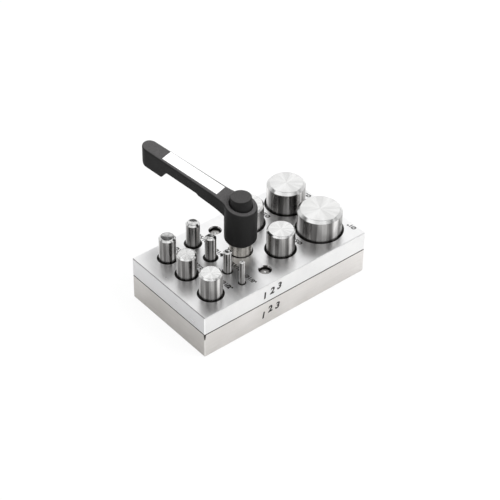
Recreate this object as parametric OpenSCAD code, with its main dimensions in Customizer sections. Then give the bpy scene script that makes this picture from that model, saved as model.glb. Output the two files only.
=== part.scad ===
// Jewelers disc cutter: two ground steel plates, eleven round punches and a lever clamp.
// The origin is the centre of the block's underside, +Z is up, +X runs along the long side,
// and -Y is the front, where the two plates show their long edge.

/* [Block] */
// Length of both plates
block_l = 114.3; // [112:0.1:122]
// Depth of both plates, front to back
block_d = 63.5; // [62:0.1:70]
// Thickness of the lower plate, which holds the dies
lower_t = 15.75; // [14.5:0.05:18]
// Thickness of the upper plate, which guides the punches
upper_t = 11.85; // [10.8:0.05:14]
// Small bevel on every edge of the plates
plate_bevel = 0.35; // [0.1:0.05:0.6]
// Width of the pry notch on the front left corner of the lower plate
notch_w = 1; // [0.5:0.1:2]
// Height of the pry notch
notch_h = 5.7; // [3:0.1:8]

/* [Punch diameters] */
// Diameter of the 1/8 inch punch
dia_1 = 3.175; // [2.8:0.005:3.5]
// Diameter of the 3/16 inch punch
dia_2 = 4.7625; // [4.4:0.0005:5.1]
// Diameter of the 1/4 inch punch
dia_3 = 6.35; // [6:0.005:6.7]
// Diameter of the 5/16 inch punch
dia_4 = 7.9375; // [7.5:0.0005:8.3]
// Diameter of the 3/8 inch punch
dia_5 = 9.525; // [9.2:0.005:9.9]
// Diameter of the 7/16 inch punch
dia_6 = 11.1125; // [10.8:0.0005:11.5]
// Diameter of the 1/2 inch punch
dia_7 = 12.7; // [12.3:0.05:13.1]
// Diameter of the 5/8 inch punch
dia_8 = 15.875; // [15.4:0.005:16.3]
// Diameter of the 3/4 inch punch
dia_9 = 19.05; // [18.6:0.05:19.5]
// Diameter of the 7/8 inch punch
dia_10 = 22.225; // [21.7:0.005:22.6]
// Diameter of the 1 inch punch
dia_11 = 25.4; // [24.8:0.05:25.8]

/* [Punch lengths] */
// Length of the 1/8 inch punch
len_1 = 42.7; // [36:0.05:46]
// Length of the 3/16 inch punch
len_2 = 41.7; // [36:0.05:46]
// Length of the 1/4 inch punch
len_3 = 42.8; // [36:0.05:46]
// Length of the 5/16 inch punch
len_4 = 42.65; // [36:0.05:46]
// Length of the 3/8 inch punch
len_5 = 42.5; // [36:0.05:46]
// Length of the 7/16 inch punch
len_6 = 41.6; // [36:0.05:46]
// Length of the 1/2 inch punch
len_7 = 42.2; // [36:0.05:46]
// Length of the 5/8 inch punch
len_8 = 41.65; // [36:0.05:46]
// Length of the 3/4 inch punch
len_9 = 41.35; // [36:0.05:46]
// Length of the 7/8 inch punch
len_10 = 42.8; // [36:0.05:46]
// Length of the 1 inch punch
len_11 = 41.9; // [36:0.05:46]
// Bevel round the struck top of a small punch
small_bevel = 0.7; // [0.3:0.05:0.9]
// Bevel round the struck top of a middle punch
mid_bevel = 1; // [0.5:0.05:1.5]
// Bevel round the struck top of the two largest punches
big_bevel = 1.65; // [0.8:0.05:2.2]

/* [Hole pattern] */
// Column of the 3/8, 7/16 and 1/2 inch holes
column_a = -41.9; // [-42.4:0.05:-41.4]
// Column of the four smallest holes
column_b = -23.5; // [-24:0.05:-23]
// Column of the 5/8 and 3/4 inch holes
column_c = 11.3; // [10.8:0.05:11.8]
// Column of the 7/8 and 1 inch holes
column_d = 39.6; // [39.1:0.05:40.1]
// Place of the 1/8 inch hole from the middle, front to back
row_1 = -21.7; // [-22.2:0.05:-21.2]
// Place of the 3/16 inch hole
row_2 = -9.3; // [-9.8:0.05:-8.8]
// Place of the 1/4 inch hole
row_3 = 5.4; // [4.9:0.05:5.9]
// Place of the 5/16 inch hole
row_4 = 21; // [20.5:0.05:21.5]
// Place of the 3/8 inch hole
row_5 = 20; // [19.5:0.05:20.5]
// Place of the 7/16 inch hole
row_6 = 2.95; // [2.45:0.05:3.45]
// Place of the 1/2 inch hole
row_7 = -17.85; // [-18.35:0.05:-17.35]
// Place of the 5/8 inch hole
row_8 = -12.7; // [-13.2:0.05:-12.2]
// Place of the 3/4 inch hole
row_9 = 16.5; // [16:0.05:17]
// Place of the 7/8 inch hole
row_10 = 16.1; // [15.6:0.05:16.6]
// Place of the 1 inch hole
row_11 = -12.8; // [-13.3:0.05:-12.3]

/* [Holes] */
// Play round a punch in the upper plate, on the radius
guide_play = 0.04; // [0.02:0.01:0.09]
// Play round a punch in its die, on the radius
die_play = 0.06; // [0.03:0.01:0.1]
// Height of the die's cutting land at the top of the lower plate
die_land = 6; // [3:0.1:9]
// How much wider a die is below its land, on the radius
die_relief = 0.5; // [0.2:0.05:0.8]
// Width of the countersink at the mouth of a hole
mouth_w = 1.1; // [0.5:0.05:1.3]
// Width of the countersink at the mouth of the two smallest holes
small_mouth_w = 0.6; // [0.3:0.05:0.9]

/* [Guide pins] */
// Diameter of the two guide pins
pin_d = 6.35; // [5:0.05:8]
// Place of the front pin, front to back
front_pin_y = -21.1; // [-22:0.05:-20]
// Place of the rear pin, front to back
rear_pin_y = 22.3; // [21.2:0.05:23]
// Depth of a pin's press seat in the lower plate
pin_seat = 11; // [8:0.1:13]
// How far a pin's top lies below the upper plate's face
pin_sink = 1.8; // [0.5:0.1:4]
// Bevel on both ends of a pin
pin_bevel = 0.6; // [0.2:0.05:1]
// Width of the countersink round a pin
pin_mouth_w = 0.55; // [0.2:0.05:1]

/* [Clamp screw] */
// Place of the clamp's axis and of the guide pins, along the plates
clamp_x = -6.85; // [-7.4:0.05:-6.3]
// Diameter of the screw's thread
stud_d = 8; // [7:0.1:8.4]
// Play round the screw where it passes the upper plate and the washer, on the radius
stud_play = 0.4; // [0.2:0.05:0.6]
// Depth of the tapped hole in the lower plate
tapped_depth = 13.5; // [11:0.1:14]
// Gap under the screw's end in its hole, with the clamp closed
stud_end_gap = 0.8; // [0.4:0.1:2]
// Diameter of the bright steel collar under the lever
collar_d = 12.7; // [12:0.05:12.8]
// How far the collar shows between the upper plate and the lever
collar_show = 6.8; // [5:0.1:7.5]
// Diameter of the counterbore in the upper plate
seat_d = 13.2; // [12.6:0.1:14]
// Depth of the counterbore
seat_depth = 5; // [3:0.1:5.5]
// Width of the countersink round the counterbore
seat_mouth_w = 0.4; // [0.2:0.05:0.8]
// Thickness of the thrust washer at the bottom of the counterbore
washer_t = 1.6; // [0.8:0.1:2.5]

/* [Lift spring] */
// Wire of the spring between the plates
lift_wire = 1.1; // [0.8:0.05:1.2]
// Turns of the spring between the plates
lift_turns = 4.5; // [3:0.5:5]
// Depth of the spring's pocket in the lower plate
lower_pocket = 6; // [5.4:0.1:7]
// Depth of the spring's pocket in the upper plate
upper_pocket = 2.8; // [2.4:0.1:3.6]

/* [Serrations] */
// Number of teeth between the lever and its insert
tooth_count = 24; // [20:2:30]
// Diameter over the teeth of the insert
tooth_d = 10.3; // [10:0.05:10.4]
// Depth of a tooth
tooth_depth = 0.5; // [0.4:0.05:0.55]
// Length of the teeth, along the axis
tooth_len = 3; // [2:0.1:3.2]
// Gap between the teeth of the lever and of the insert
tooth_play = 0.08; // [0.06:0.01:0.12]
// Height of the insert's plain spigot above the teeth
spigot_h = 8.1; // [6:0.1:8.6]

/* [Lever hub] */
// Diameter of the hub's neck at its lower end
neck_d = 13; // [12.9:0.1:14]
// Height of the hub's neck
neck_h = 0.3; // [0.2:0.1:1]
// Diameter of the hub at the lower end of its barrel
hub_d = 18.2; // [17.4:0.1:18.6]
// Height of the cone between neck and barrel
hub_cone_h = 2; // [1.5:0.1:4]
// Widening of the barrel up to its top, on the radius
hub_draft = 0.05; // [0:0.01:0.3]
// Height of the hub along its axis
hub_h = 25.35; // [25:0.05:28]
// Rounding of the hub's sloping rim
hub_round = 1; // [0.4:0.1:1.2]
// How far the rim stands proud of the arm's top
rim_step = 0.06; // [0.04:0.01:0.2]
// Rounding between barrel and cone
cone_round = 2; // [1:0.1:2.6]
// Diameter of the well that the button sinks into
well_d = 13.3; // [13.1:0.05:14]
// Thickness of the web between the well and the insert's bore
web_t = 4.7; // [3:0.1:5]

/* [Lever arm] */
// Length from the clamp's axis to the lever's tip
arm_l = 65.65; // [60:0.05:74]
// Turn of the arm from the plates' long side, with the clamp closed
arm_turn = 105.2; // [103:0.1:107]
// Slope of the arm's top, in degrees
arm_slope = 11.9; // [9:0.1:13]
// Width of the arm at the hub
arm_root_w = 11.5; // [10:0.1:12]
// Width of the arm at its tip
arm_tip_w = 9.65; // [8:0.05:10]
// Extra width where the arm grows out of the hub, on each side
root_flare = 3; // [1:0.1:3.2]
// Reach of that extra width from the axis
root_flare_l = 15; // [12:0.1:18]
// Depth of the arm at the hub
arm_root_h = 9.3; // [8.4:0.1:10.5]
// Depth of the arm before its step
arm_step_h = 7.85; // [7.4:0.05:8.2]
// Depth of the arm past its step
arm_h = 7.05; // [6.2:0.05:7.2]
// Distance of the step from the axis
arm_step_at = 25; // [22:0.1:29]
// Depth of the finger hook at the tip
hook_h = 12.2; // [10:0.05:14]
// Length of the finger hook at its foot
hook_l = 15.3; // [13:0.1:17]
// Lean of the hook's inner wall, from its foot to the arm
hook_lean = 3; // [1:0.1:4]
// Rounding between the hook's inner wall and the arm
hook_fillet = 1.8; // [0.5:0.1:2.2]
// Rounding under the lever's tip
tip_round = 3.4; // [1:0.1:4]
// Rounding along the arm's edges
arm_round = 0.9; // [0.5:0.05:1.3]

/* [Button] */
// Diameter of the button's top face
button_top_d = 11.9; // [11:0.1:12.2]
// Diameter of the button's skirt
button_d = 12.7; // [12.3:0.05:12.9]
// Height of the button above the hub's top, at the axis
button_show = 5.4; // [4.8:0.1:6.5]
// Height of the whole button
button_h = 11; // [10:0.1:11.3]
// Height of the tapered part of the button
button_taper_h = 7.4; // [6:0.1:8.5]
// Diameter of the hollow in the button
button_hollow_d = 9.4; // [9:0.1:9.8]
// Thickness of the button's roof
button_roof_t = 3.6; // [3:0.1:4]
// Rounding round the button's top
button_round = 0.6; // [0.2:0.05:0.8]
// Diameter of the draw screw
screw_d = 5; // [4.4:0.1:5.4]
// Diameter of the draw screw's head
screw_head_d = 6.2; // [5.8:0.1:6.5]
// Height of the draw screw's head
screw_head_h = 2.8; // [2:0.1:3.4]
// How much of the head is set in the button's roof
screw_head_set = 1.4; // [0.8:0.1:2]
// Wire of the spring inside the hub
hub_wire = 0.8; // [0.5:0.05:0.9]
// Turns of the spring inside the hub
hub_turns = 6; // [4:0.5:7]

/* [Hidden] */
PUNCHES = ["punch_1_8_inch", "punch_3_16_inch", "punch_1_4_inch", "punch_5_16_inch",
           "punch_3_8_inch", "punch_7_16_inch", "punch_1_2_inch", "punch_5_8_inch",
           "punch_3_4_inch", "punch_7_8_inch", "punch_1_inch"];

$fn = 64;
over = 1;               // overrun of every cut
run_play = 0.05;        // running fit, on the radius
set_play = 0.02;        // pressed fit, on the radius
end_play = 0.05;        // gap between faces that meet end to end
coil_play = 0.25;       // room round a spring, on the radius

// Diameter, length, column, row, top bevel and countersink of each punch and its hole
punch_table = [
    [dia_1, len_1, column_b, row_1, small_bevel, small_mouth_w],
    [dia_2, len_2, column_b, row_2, small_bevel, small_mouth_w],
    [dia_3, len_3, column_b, row_3, mid_bevel, mouth_w],
    [dia_4, len_4, column_b, row_4, mid_bevel, mouth_w],
    [dia_5, len_5, column_a, row_5, mid_bevel, mouth_w],
    [dia_6, len_6, column_a, row_6, mid_bevel, mouth_w],
    [dia_7, len_7, column_a, row_7, mid_bevel, mouth_w],
    [dia_8, len_8, column_c, row_8, mid_bevel, mouth_w],
    [dia_9, len_9, column_c, row_9, mid_bevel, mouth_w],
    [dia_10, len_10, column_d, row_10, big_bevel, mouth_w],
    [dia_11, len_11, column_d, row_11, big_bevel, mouth_w]];
function p_r(i) = punch_table[i][0] / 2;
function p_len(i) = punch_table[i][1];
function p_at(i) = [punch_table[i][2], punch_table[i][3], 0];
function p_bevel(i) = punch_table[i][4];
function p_mouth(i) = punch_table[i][5];

stud_r = stud_d / 2;
collar_r = collar_d / 2;
seat_r = seat_d / 2;
tooth_r = tooth_d / 2;
spigot_r = tooth_r - tooth_depth - run_play;
neck_r = neck_d / 2;
hub_r = hub_d / 2;
hub_top_r = hub_r + hub_draft;
well_r = well_d / 2;
pin_r = pin_d / 2;
screw_r = screw_d / 2;

// Heights along the clamp's axis, with the clamp closed
block_t = lower_t + upper_t;
seat_z = block_t - seat_depth;
collar_z = seat_z + washer_t;
hub_z = block_t + collar_show;
tooth_top_z = hub_z + tooth_len;
insert_top_z = tooth_top_z + spigot_h;
web_z = insert_top_z + end_play;
well_z = web_z + web_t;
hub_top_z = hub_z + hub_h;
button_top_z = hub_top_z + button_show;
button_z = button_top_z - button_h;
roof_z = button_top_z - button_roof_t;
stud_z = lower_t - tapped_depth + stud_end_gap;
stud_top_z = hub_z;
screw_z = stud_top_z + stud_end_gap;
head_top_z = roof_z + screw_head_set;

// Faces of the rounded outlines, and rings and sides of the coils
round_n = 4;
coil_rings = 8;
coil_sides = 6;

// The lift spring stands round the stud between the plates, the hub spring round the draw screw
lift_r = (stud_r + coil_play + lift_wire / 2) / cos(180 / coil_rings);
lift_z0 = lower_t - lower_pocket + end_play;
lift_z1 = lower_t + upper_pocket - end_play;
pocket_r = lift_r + lift_wire / 2 + coil_play;
hub_spring_r = button_hollow_d / 2 - coil_play - hub_wire / 2;
hub_spring_z0 = well_z + end_play;
hub_spring_z1 = roof_z - end_play;

steel = [0.86, 0.86, 0.85];
warm_steel = [0.78, 0.77, 0.75];
punch_steel = [0.62, 0.62, 0.63];
spring_steel = [0.5, 0.5, 0.52];
black_metal = [0.2, 0.2, 0.2];
black_plastic = [0.28, 0.28, 0.28];

// The round corner between two straight edges that meet at b, as points on its arc
function unit(v) = v / norm(v);
function round_corner(a, b, c, r) =
    let (u = unit(a - b), v = unit(c - b), half = acos(u * v) / 2,
         centre = b + unit(u + v) * r / sin(half),
         from = unit(b + u * r / tan(half) - centre), to = unit(b + v * r / tan(half) - centre))
    [for (k = [0 : round_n]) centre + r * unit(from * (round_n - k) + to * k)];

// A square bar on its edge, for bevelling a straight edge
module edge_cut(length, bevel) {
    rotate([0, 45, 0])
        cube([bevel * sqrt(2), length + 2 * over, bevel * sqrt(2)], center = true);
}

// A ground plate with all twelve edges broken
module plate_blank(thick) {
    difference() {
        translate([-block_l / 2, -block_d / 2, 0])
            cube([block_l, block_d, thick]);
        for (x = [-1, 1], z = [0, thick])
            translate([x * block_l / 2, 0, z])
                edge_cut(block_d, plate_bevel);
        for (y = [-1, 1], z = [0, thick])
            translate([0, y * block_d / 2, z])
                rotate([0, 0, 90])
                    edge_cut(block_l, plate_bevel);
        for (x = [-1, 1], y = [-1, 1])
            translate([x * block_l / 2, y * block_d / 2, thick / 2])
                rotate([90, 0, 0])
                    edge_cut(thick, plate_bevel);
    }
}

// The sliver filed off the lower plate's front left corner, for prying the plates apart
module pry_notch() {
    lean = atan(notch_w / sqrt(2) / notch_h);
    translate([-block_l / 2, -block_d / 2, lower_t - notch_h])
        rotate([0, 0, 45])
            rotate([0, lean, 0])
                translate([-notch_w, -notch_h, -notch_h])
                    cube([notch_w, 2 * notch_h, 3 * notch_h]);
}

// A hole through the upper plate, with a countersunk mouth
module guided_hole(r, mouth) {
    translate([0, 0, lower_t - over])
        cylinder(r = r, h = upper_t + 2 * over);
    translate([0, 0, block_t - mouth])
        cylinder(r1 = r, r2 = r + mouth + over, h = mouth + over);
}

module lower_plate() {
    color(warm_steel)
        difference() {
            plate_blank(lower_t);
            pry_notch();
            for (i = [0 : len(punch_table) - 1])
                translate(p_at(i) - [0, 0, over]) {
                    cylinder(r = p_r(i) + die_play, h = lower_t + 2 * over);
                    cylinder(r = p_r(i) + die_relief, h = lower_t - die_land + over);
                }
            for (y = [front_pin_y, rear_pin_y])
                translate([clamp_x, y, lower_t - pin_seat])
                    cylinder(r = pin_r + set_play, h = pin_seat + over);
            translate([clamp_x, 0, lower_t - tapped_depth])
                cylinder(r = stud_r + run_play, h = tapped_depth + over);
            translate([clamp_x, 0, lower_t - lower_pocket])
                cylinder(r = pocket_r, h = lower_pocket + over);
        }
}

module upper_plate() {
    color(steel)
        difference() {
            translate([0, 0, lower_t])
                plate_blank(upper_t);
            for (i = [0 : len(punch_table) - 1])
                translate(p_at(i))
                    guided_hole(p_r(i) + guide_play, p_mouth(i));
            for (y = [front_pin_y, rear_pin_y])
                translate([clamp_x, y, 0])
                    guided_hole(pin_r + guide_play, pin_mouth_w);
            translate([clamp_x, 0, lower_t - over])
                cylinder(r = stud_r + stud_play, h = upper_t + 2 * over);
            translate([clamp_x, 0, lower_t - over])
                cylinder(r = pocket_r, h = upper_pocket + over);
            translate([clamp_x, 0, seat_z])
                cylinder(r = seat_r, h = seat_depth + over);
            translate([clamp_x, 0, block_t - seat_mouth_w])
                cylinder(r1 = seat_r, r2 = seat_r + seat_mouth_w + over, h = seat_mouth_w + over);
        }
}

// A punch stands in its own hole, with its cutting end at the block's underside
module punch(i) {
    color(punch_steel)
        translate(p_at(i)) {
            cylinder(r = p_r(i), h = p_len(i) - p_bevel(i));
            translate([0, 0, p_len(i) - p_bevel(i)])
                cylinder(r1 = p_r(i), r2 = p_r(i) - p_bevel(i), h = p_bevel(i));
        }
}

// A dowel, bevelled at both ends
module guide_pin(y) {
    from = lower_t - pin_seat + end_play;
    length = block_t - pin_sink - from;
    color(punch_steel)
        translate([clamp_x, y, from]) {
            cylinder(r1 = pin_r - pin_bevel, r2 = pin_r, h = pin_bevel);
            translate([0, 0, pin_bevel])
                cylinder(r = pin_r, h = length - 2 * pin_bevel);
            translate([0, 0, length - pin_bevel])
                cylinder(r1 = pin_r, r2 = pin_r - pin_bevel, h = pin_bevel);
        }
}

module guide_pin_front() {
    guide_pin(front_pin_y);
}

module guide_pin_rear() {
    guide_pin(rear_pin_y);
}

module thrust_washer() {
    color(spring_steel)
        translate([clamp_x, 0, seat_z])
            difference() {
                cylinder(r = seat_r - run_play, h = washer_t);
                translate([0, 0, -over])
                    cylinder(r = stud_r + stud_play, h = washer_t + 2 * over);
            }
}

// The threaded rod, as a plain rod of the thread's outer diameter with a bevelled end
module clamp_stud() {
    color(spring_steel)
        translate([clamp_x, 0, stud_z]) {
            cylinder(r1 = stud_r - stud_end_gap, r2 = stud_r, h = stud_end_gap);
            translate([0, 0, stud_end_gap])
                cylinder(r = stud_r, h = stud_top_z - stud_z - stud_end_gap);
        }
}

// A ring of pointed teeth, as a flat outline
module tooth_ring(r_tip, r_root) {
    rotate([0, 0, arm_turn])
        polygon([for (k = [0 : 2 * tooth_count - 1])
                 let (a = 180 * k / tooth_count)
                 (k % 2 == 0 ? r_tip : r_root) * [cos(a), sin(a)]]);
}

// Steel insert: a bright collar under the hub, with teeth and a guide spigot inside the hub
module serrated_insert() {
    color(spring_steel)
        translate([clamp_x, 0, 0])
            difference() {
                union() {
                    translate([0, 0, collar_z])
                        cylinder(r = collar_r, h = hub_z - collar_z);
                    translate([0, 0, hub_z - over])
                        linear_extrude(tooth_len + over)
                            tooth_ring(tooth_r, tooth_r - tooth_depth);
                    translate([0, 0, hub_z - over])
                        cylinder(r = spigot_r, h = insert_top_z - hub_z + over);
                }
                translate([0, 0, collar_z - over])
                    cylinder(r = stud_r + set_play, h = stud_top_z + end_play - collar_z + over);
                translate([0, 0, hub_z])
                    cylinder(r = screw_r + set_play, h = insert_top_z - hub_z + over);
            }
}

// Height of the lever's sloping top at a distance from the clamp's axis
function top_z(s) = hub_top_z - rim_step + s * tan(arm_slope);

// Side view of the arm's underside: distance from the axis, and depth below the sloping top
hook_s = arm_l - hook_l;
hook_top = [hook_s - hook_lean, arm_h];
hook_foot = [hook_s, hook_h];
step_foot = [arm_step_at + arm_step_h - arm_h, arm_h];
arm_under = concat(
    [[0, arm_root_h], [arm_step_at, arm_step_h], step_foot],
    round_corner(step_foot, hook_top, hook_foot, hook_fillet),
    [hook_foot],
    round_corner(hook_foot, [arm_l, hook_h], [arm_l, 0], tip_round));

// The arm from its side, seen square to its length, with its top lowered by a drop
module side_prism(drop) {
    translate([0, hub_r, 0])
        rotate([90, 0, 0])
            linear_extrude(2 * hub_r)
                polygon(concat(
                    [for (p = concat([[-over, arm_root_h]], arm_under)) [p[0], top_z(p[0]) - p[1]]],
                    [[arm_l + over, top_z(arm_l) - hook_h + tip_round],
                     [arm_l + over, top_z(arm_l + over) - drop], [-over, top_z(-over) - drop]]));
}

// The arm from above: straight tapered sides and a round tip
tip_r = arm_tip_w / 2;
tip_s = arm_l - tip_r;
module arm_plan() {
    linear_extrude(3 * hub_h) {
        polygon([[0, -arm_root_w / 2], [tip_s, -tip_r], [tip_s, tip_r], [0, arm_root_w / 2]]);
        translate([tip_s, 0])
            circle(r = tip_r);
    }
}

// The fillets that spread the arm's root over the hub, seen from above
function root_half(s) = arm_root_w / 2 + (tip_r - arm_root_w / 2) * s / tip_s
                      + root_flare * pow(1 - s / root_flare_l, 2);
root_stations = [for (k = [0 : 2 * round_n]) root_flare_l * k / (2 * round_n)];
module root_plan() {
    linear_extrude(3 * hub_h)
        polygon(concat([for (s = root_stations) [s, -root_half(s)]],
                       [for (k = [2 * round_n : -1 : 0]) [root_stations[k], root_half(root_stations[k])]]));
}

// What a rounded edge leaves of a square corner: the corner is at zero, the solid to its lower left
edge_profile = concat(
    [[over, over], [-arm_round, over]],
    round_corner([-arm_l, 0], [0, 0], [0, -arm_l], arm_round),
    [[over, -arm_round]]);

// Cutter for the arm's top edges: a straight run on each side and a half ring round the tip
module top_edge_cut() {
    run = tip_s / cos(arm_slope);
    turn = atan((arm_root_w / 2 - tip_r) / run);
    translate([0, 0, top_z(0)])
        rotate([0, -arm_slope, 0]) {
            for (side = [0, 1])
                mirror([0, side, 0])
                    translate([0, arm_root_w / 2, 0])
                        rotate([0, 0, -turn])
                            rotate([90, 0, 90])
                                linear_extrude(run / cos(turn))
                                    polygon(edge_profile);
            translate([run, 0, 0])
                rotate([0, 0, -90])
                    rotate_extrude(angle = 180)
                        polygon([for (p = edge_profile) [tip_r + p[0], p[1]]]);
        }
}

module arm() {
    difference() {
        intersection() {
            arm_plan();
            side_prism(0);
        }
        top_edge_cut();
    }
    intersection() {
        root_plan();
        side_prism(arm_round);
    }
}

// The hub turned to shape: neck, cone and drafted barrel, longer than its sloping top needs
hub_profile = concat(
    [[0, 0], [neck_r, 0], [neck_r, neck_h]],
    round_corner([neck_r, neck_h], [hub_r, neck_h + hub_cone_h], [hub_top_r, hub_h], cone_round),
    [[hub_top_r, hub_h], [hub_top_r, hub_h + hub_r], [0, hub_h + hub_r]]);

// Cutter for the hub's top: flat on the slope, with a round rim that runs out steeply
rim_r = hub_top_r / cos(arm_slope);
rim_end = 70;
rim_profile = concat(
    [[0, 0]],
    [for (k = [0 : round_n])
        let (a = rim_end * k / round_n)
        [rim_r - hub_round * (1 - sin(a)), -hub_round * (1 - cos(a))]],
    [[rim_r + hub_h * cos(rim_end), -hub_h * sin(rim_end)] * 2 - [rim_r, 0], [0, -2 * hub_h]]);

module hub() {
    intersection() {
        translate([0, 0, hub_z])
            rotate_extrude()
                polygon(hub_profile);
        translate([0, 0, hub_top_z])
            rotate([0, -arm_slope, 0])
                rotate_extrude()
                    polygon(rim_profile);
    }
}

// Die-cast lever: hub, arm and finger hook in one piece, bored for the insert, screw and button
module lever() {
    color(black_metal)
        translate([clamp_x, 0, 0])
            difference() {
                rotate([0, 0, arm_turn])
                    union() {
                        hub();
                        arm();
                    }
                translate([0, 0, hub_z - over])
                    linear_extrude(tooth_len + end_play + over)
                        tooth_ring(tooth_r + tooth_play, tooth_r - tooth_depth + tooth_play);
                translate([0, 0, hub_z])
                    cylinder(r = spigot_r + run_play, h = web_z - hub_z);
                translate([0, 0, hub_z])
                    cylinder(r = screw_r + run_play, h = hub_h);
                translate([0, 0, well_z])
                    cylinder(r = well_r, h = hub_h);
            }
}

// Draw screw: it ties the button to the insert through the hub's web
module draw_screw() {
    color(spring_steel)
        translate([clamp_x, 0, 0]) {
            translate([0, 0, screw_z])
                cylinder(r = screw_r, h = head_top_z - screw_z);
            translate([0, 0, head_top_z - screw_head_h])
                cylinder(d = screw_head_d, h = screw_head_h);
        }
}

// Hollow button: straight skirt, tapered body and rounded top
button_profile = concat(
    [[0, 0], [button_d / 2, 0], [button_d / 2, button_h - button_taper_h]],
    round_corner([button_d / 2, button_h - button_taper_h], [button_top_d / 2, button_h],
                 [0, button_h], button_round),
    [[0, button_h]]);

module push_button() {
    color(black_plastic)
        translate([clamp_x, 0, button_z])
            difference() {
                rotate_extrude()
                    polygon(button_profile);
                translate([0, 0, -over])
                    cylinder(d = button_hollow_d, h = roof_z - button_z + over);
                cylinder(r = screw_head_d / 2 + set_play, h = head_top_z + end_play - button_z);
            }
}

// A coil spring as one tube round its helix, closed with a flat cap at each end
function coil_point(r, z0, z1, turns, k) =
    let (a = 360 * k / coil_rings)
    [r * cos(a), r * sin(a), z0 + (z1 - z0) * k / (turns * coil_rings)];

module coil_spring(r, z0, z1, turns, wire) {
    n = turns * coil_rings;
    polyhedron(
        points = [for (k = [0 : n], m = [0 : coil_sides - 1])
                  let (a = 360 * k / coil_rings, b = 360 * m / coil_sides)
                  coil_point(r, z0 + wire / 2, z1 - wire / 2, turns, k)
                  + wire / 2 * [cos(b) * cos(a), cos(b) * sin(a), sin(b)]],
        faces = concat(
            [for (m = [1 : coil_sides - 2]) [0, m + 1, m]],
            [for (k = [0 : n - 1], m = [0 : coil_sides - 1], half = [0, 1])
                let (p = k * coil_sides + m, q = k * coil_sides + (m + 1) % coil_sides)
                half == 0 ? [p, q, q + coil_sides] : [p, q + coil_sides, p + coil_sides]],
            [for (m = [1 : coil_sides - 2]) [for (c = [0, m, m + 1]) n * coil_sides + c]]));
}

// Least distance between points of the wire that lie a turn or more apart, less the wire
function coil_gap(r, z0, z1, turns, wire) =
    min([for (i = [0 : (turns - 1) * coil_rings], j = [i + coil_rings - 1 : turns * coil_rings])
         norm(coil_point(r, z0 + wire / 2, z1 - wire / 2, turns, i)
              - coil_point(r, z0 + wire / 2, z1 - wire / 2, turns, j))]) - wire;

module lift_spring() {
    color(spring_steel)
        translate([clamp_x, 0, 0])
            coil_spring(lift_r, lift_z0, lift_z1, lift_turns, lift_wire);
}

module lever_spring() {
    color(spring_steel)
        translate([clamp_x, 0, 0])
            coil_spring(hub_spring_r, hub_spring_z0, hub_spring_z1, hub_turns, hub_wire);
}

echo(lift_spring_least_gap = coil_gap(lift_r, lift_z0, lift_z1, lift_turns, lift_wire));
echo(lever_spring_least_gap = coil_gap(hub_spring_r, hub_spring_z0, hub_spring_z1, hub_turns,
                                       hub_wire));

lower_plate();
upper_plate();
guide_pin_front();
guide_pin_rear();
lift_spring();
thrust_washer();
clamp_stud();
serrated_insert();
lever();
lever_spring();
draw_screw();
push_button();
for (i = [0 : len(PUNCHES) - 1])
    punch(i);
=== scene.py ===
import math

import bmesh
import bpy
import numpy as np
from mathutils import Matrix, Vector


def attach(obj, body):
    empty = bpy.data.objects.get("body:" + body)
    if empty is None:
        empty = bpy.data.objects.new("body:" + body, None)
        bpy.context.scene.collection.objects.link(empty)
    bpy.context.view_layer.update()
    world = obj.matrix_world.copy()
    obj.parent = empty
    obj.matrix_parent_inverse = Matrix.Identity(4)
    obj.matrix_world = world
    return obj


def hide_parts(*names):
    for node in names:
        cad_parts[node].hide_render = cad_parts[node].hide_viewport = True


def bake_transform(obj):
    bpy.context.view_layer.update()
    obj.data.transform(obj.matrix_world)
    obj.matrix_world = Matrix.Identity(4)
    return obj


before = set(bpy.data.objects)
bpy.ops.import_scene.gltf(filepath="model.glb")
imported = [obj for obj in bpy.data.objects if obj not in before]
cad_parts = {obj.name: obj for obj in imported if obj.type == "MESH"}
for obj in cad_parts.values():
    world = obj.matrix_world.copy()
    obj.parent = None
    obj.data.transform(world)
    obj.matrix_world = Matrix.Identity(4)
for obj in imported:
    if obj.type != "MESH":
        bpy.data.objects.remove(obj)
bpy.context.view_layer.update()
mm = 0.001
print("disc cutter: frame loaded,", len(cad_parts), "nodes")

# Lengths in the dictionaries are in mm in the block's frame, and angles in degrees
clampAxis = (-6.85, 0.0)                               # where the clamp's axis meets the plates
block = {"top": 27.6, "seam": 15.75, "front": -31.75}  # the plates' faces
corner = {"share": 0.44, "flatShare": 0.47, "flatReach": 1.3, "flatGap": 0.02, "steps": 4}
weld = {"cad": 1e-6, "sliver": 1e-7, "joined": 1e-7, "arm": 2e-6}   # in metres


def gridFaces(rows, columns, closeRows, closeColumns):
    # Quads between neighbouring rows and columns; a closed direction joins its last line to its first
    i = np.arange(rows if closeRows else rows - 1)[:, None]
    j = np.arange(columns if closeColumns else columns - 1)[None, :]
    iNext, jNext = (i + 1) % rows, (j + 1) % columns
    corners = [i * columns + j, i * columns + jNext, iNext * columns + jNext, iNext * columns + j]
    return np.stack([c + 0 * (i + j) for c in corners], -1).reshape(-1, 4)


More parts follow.
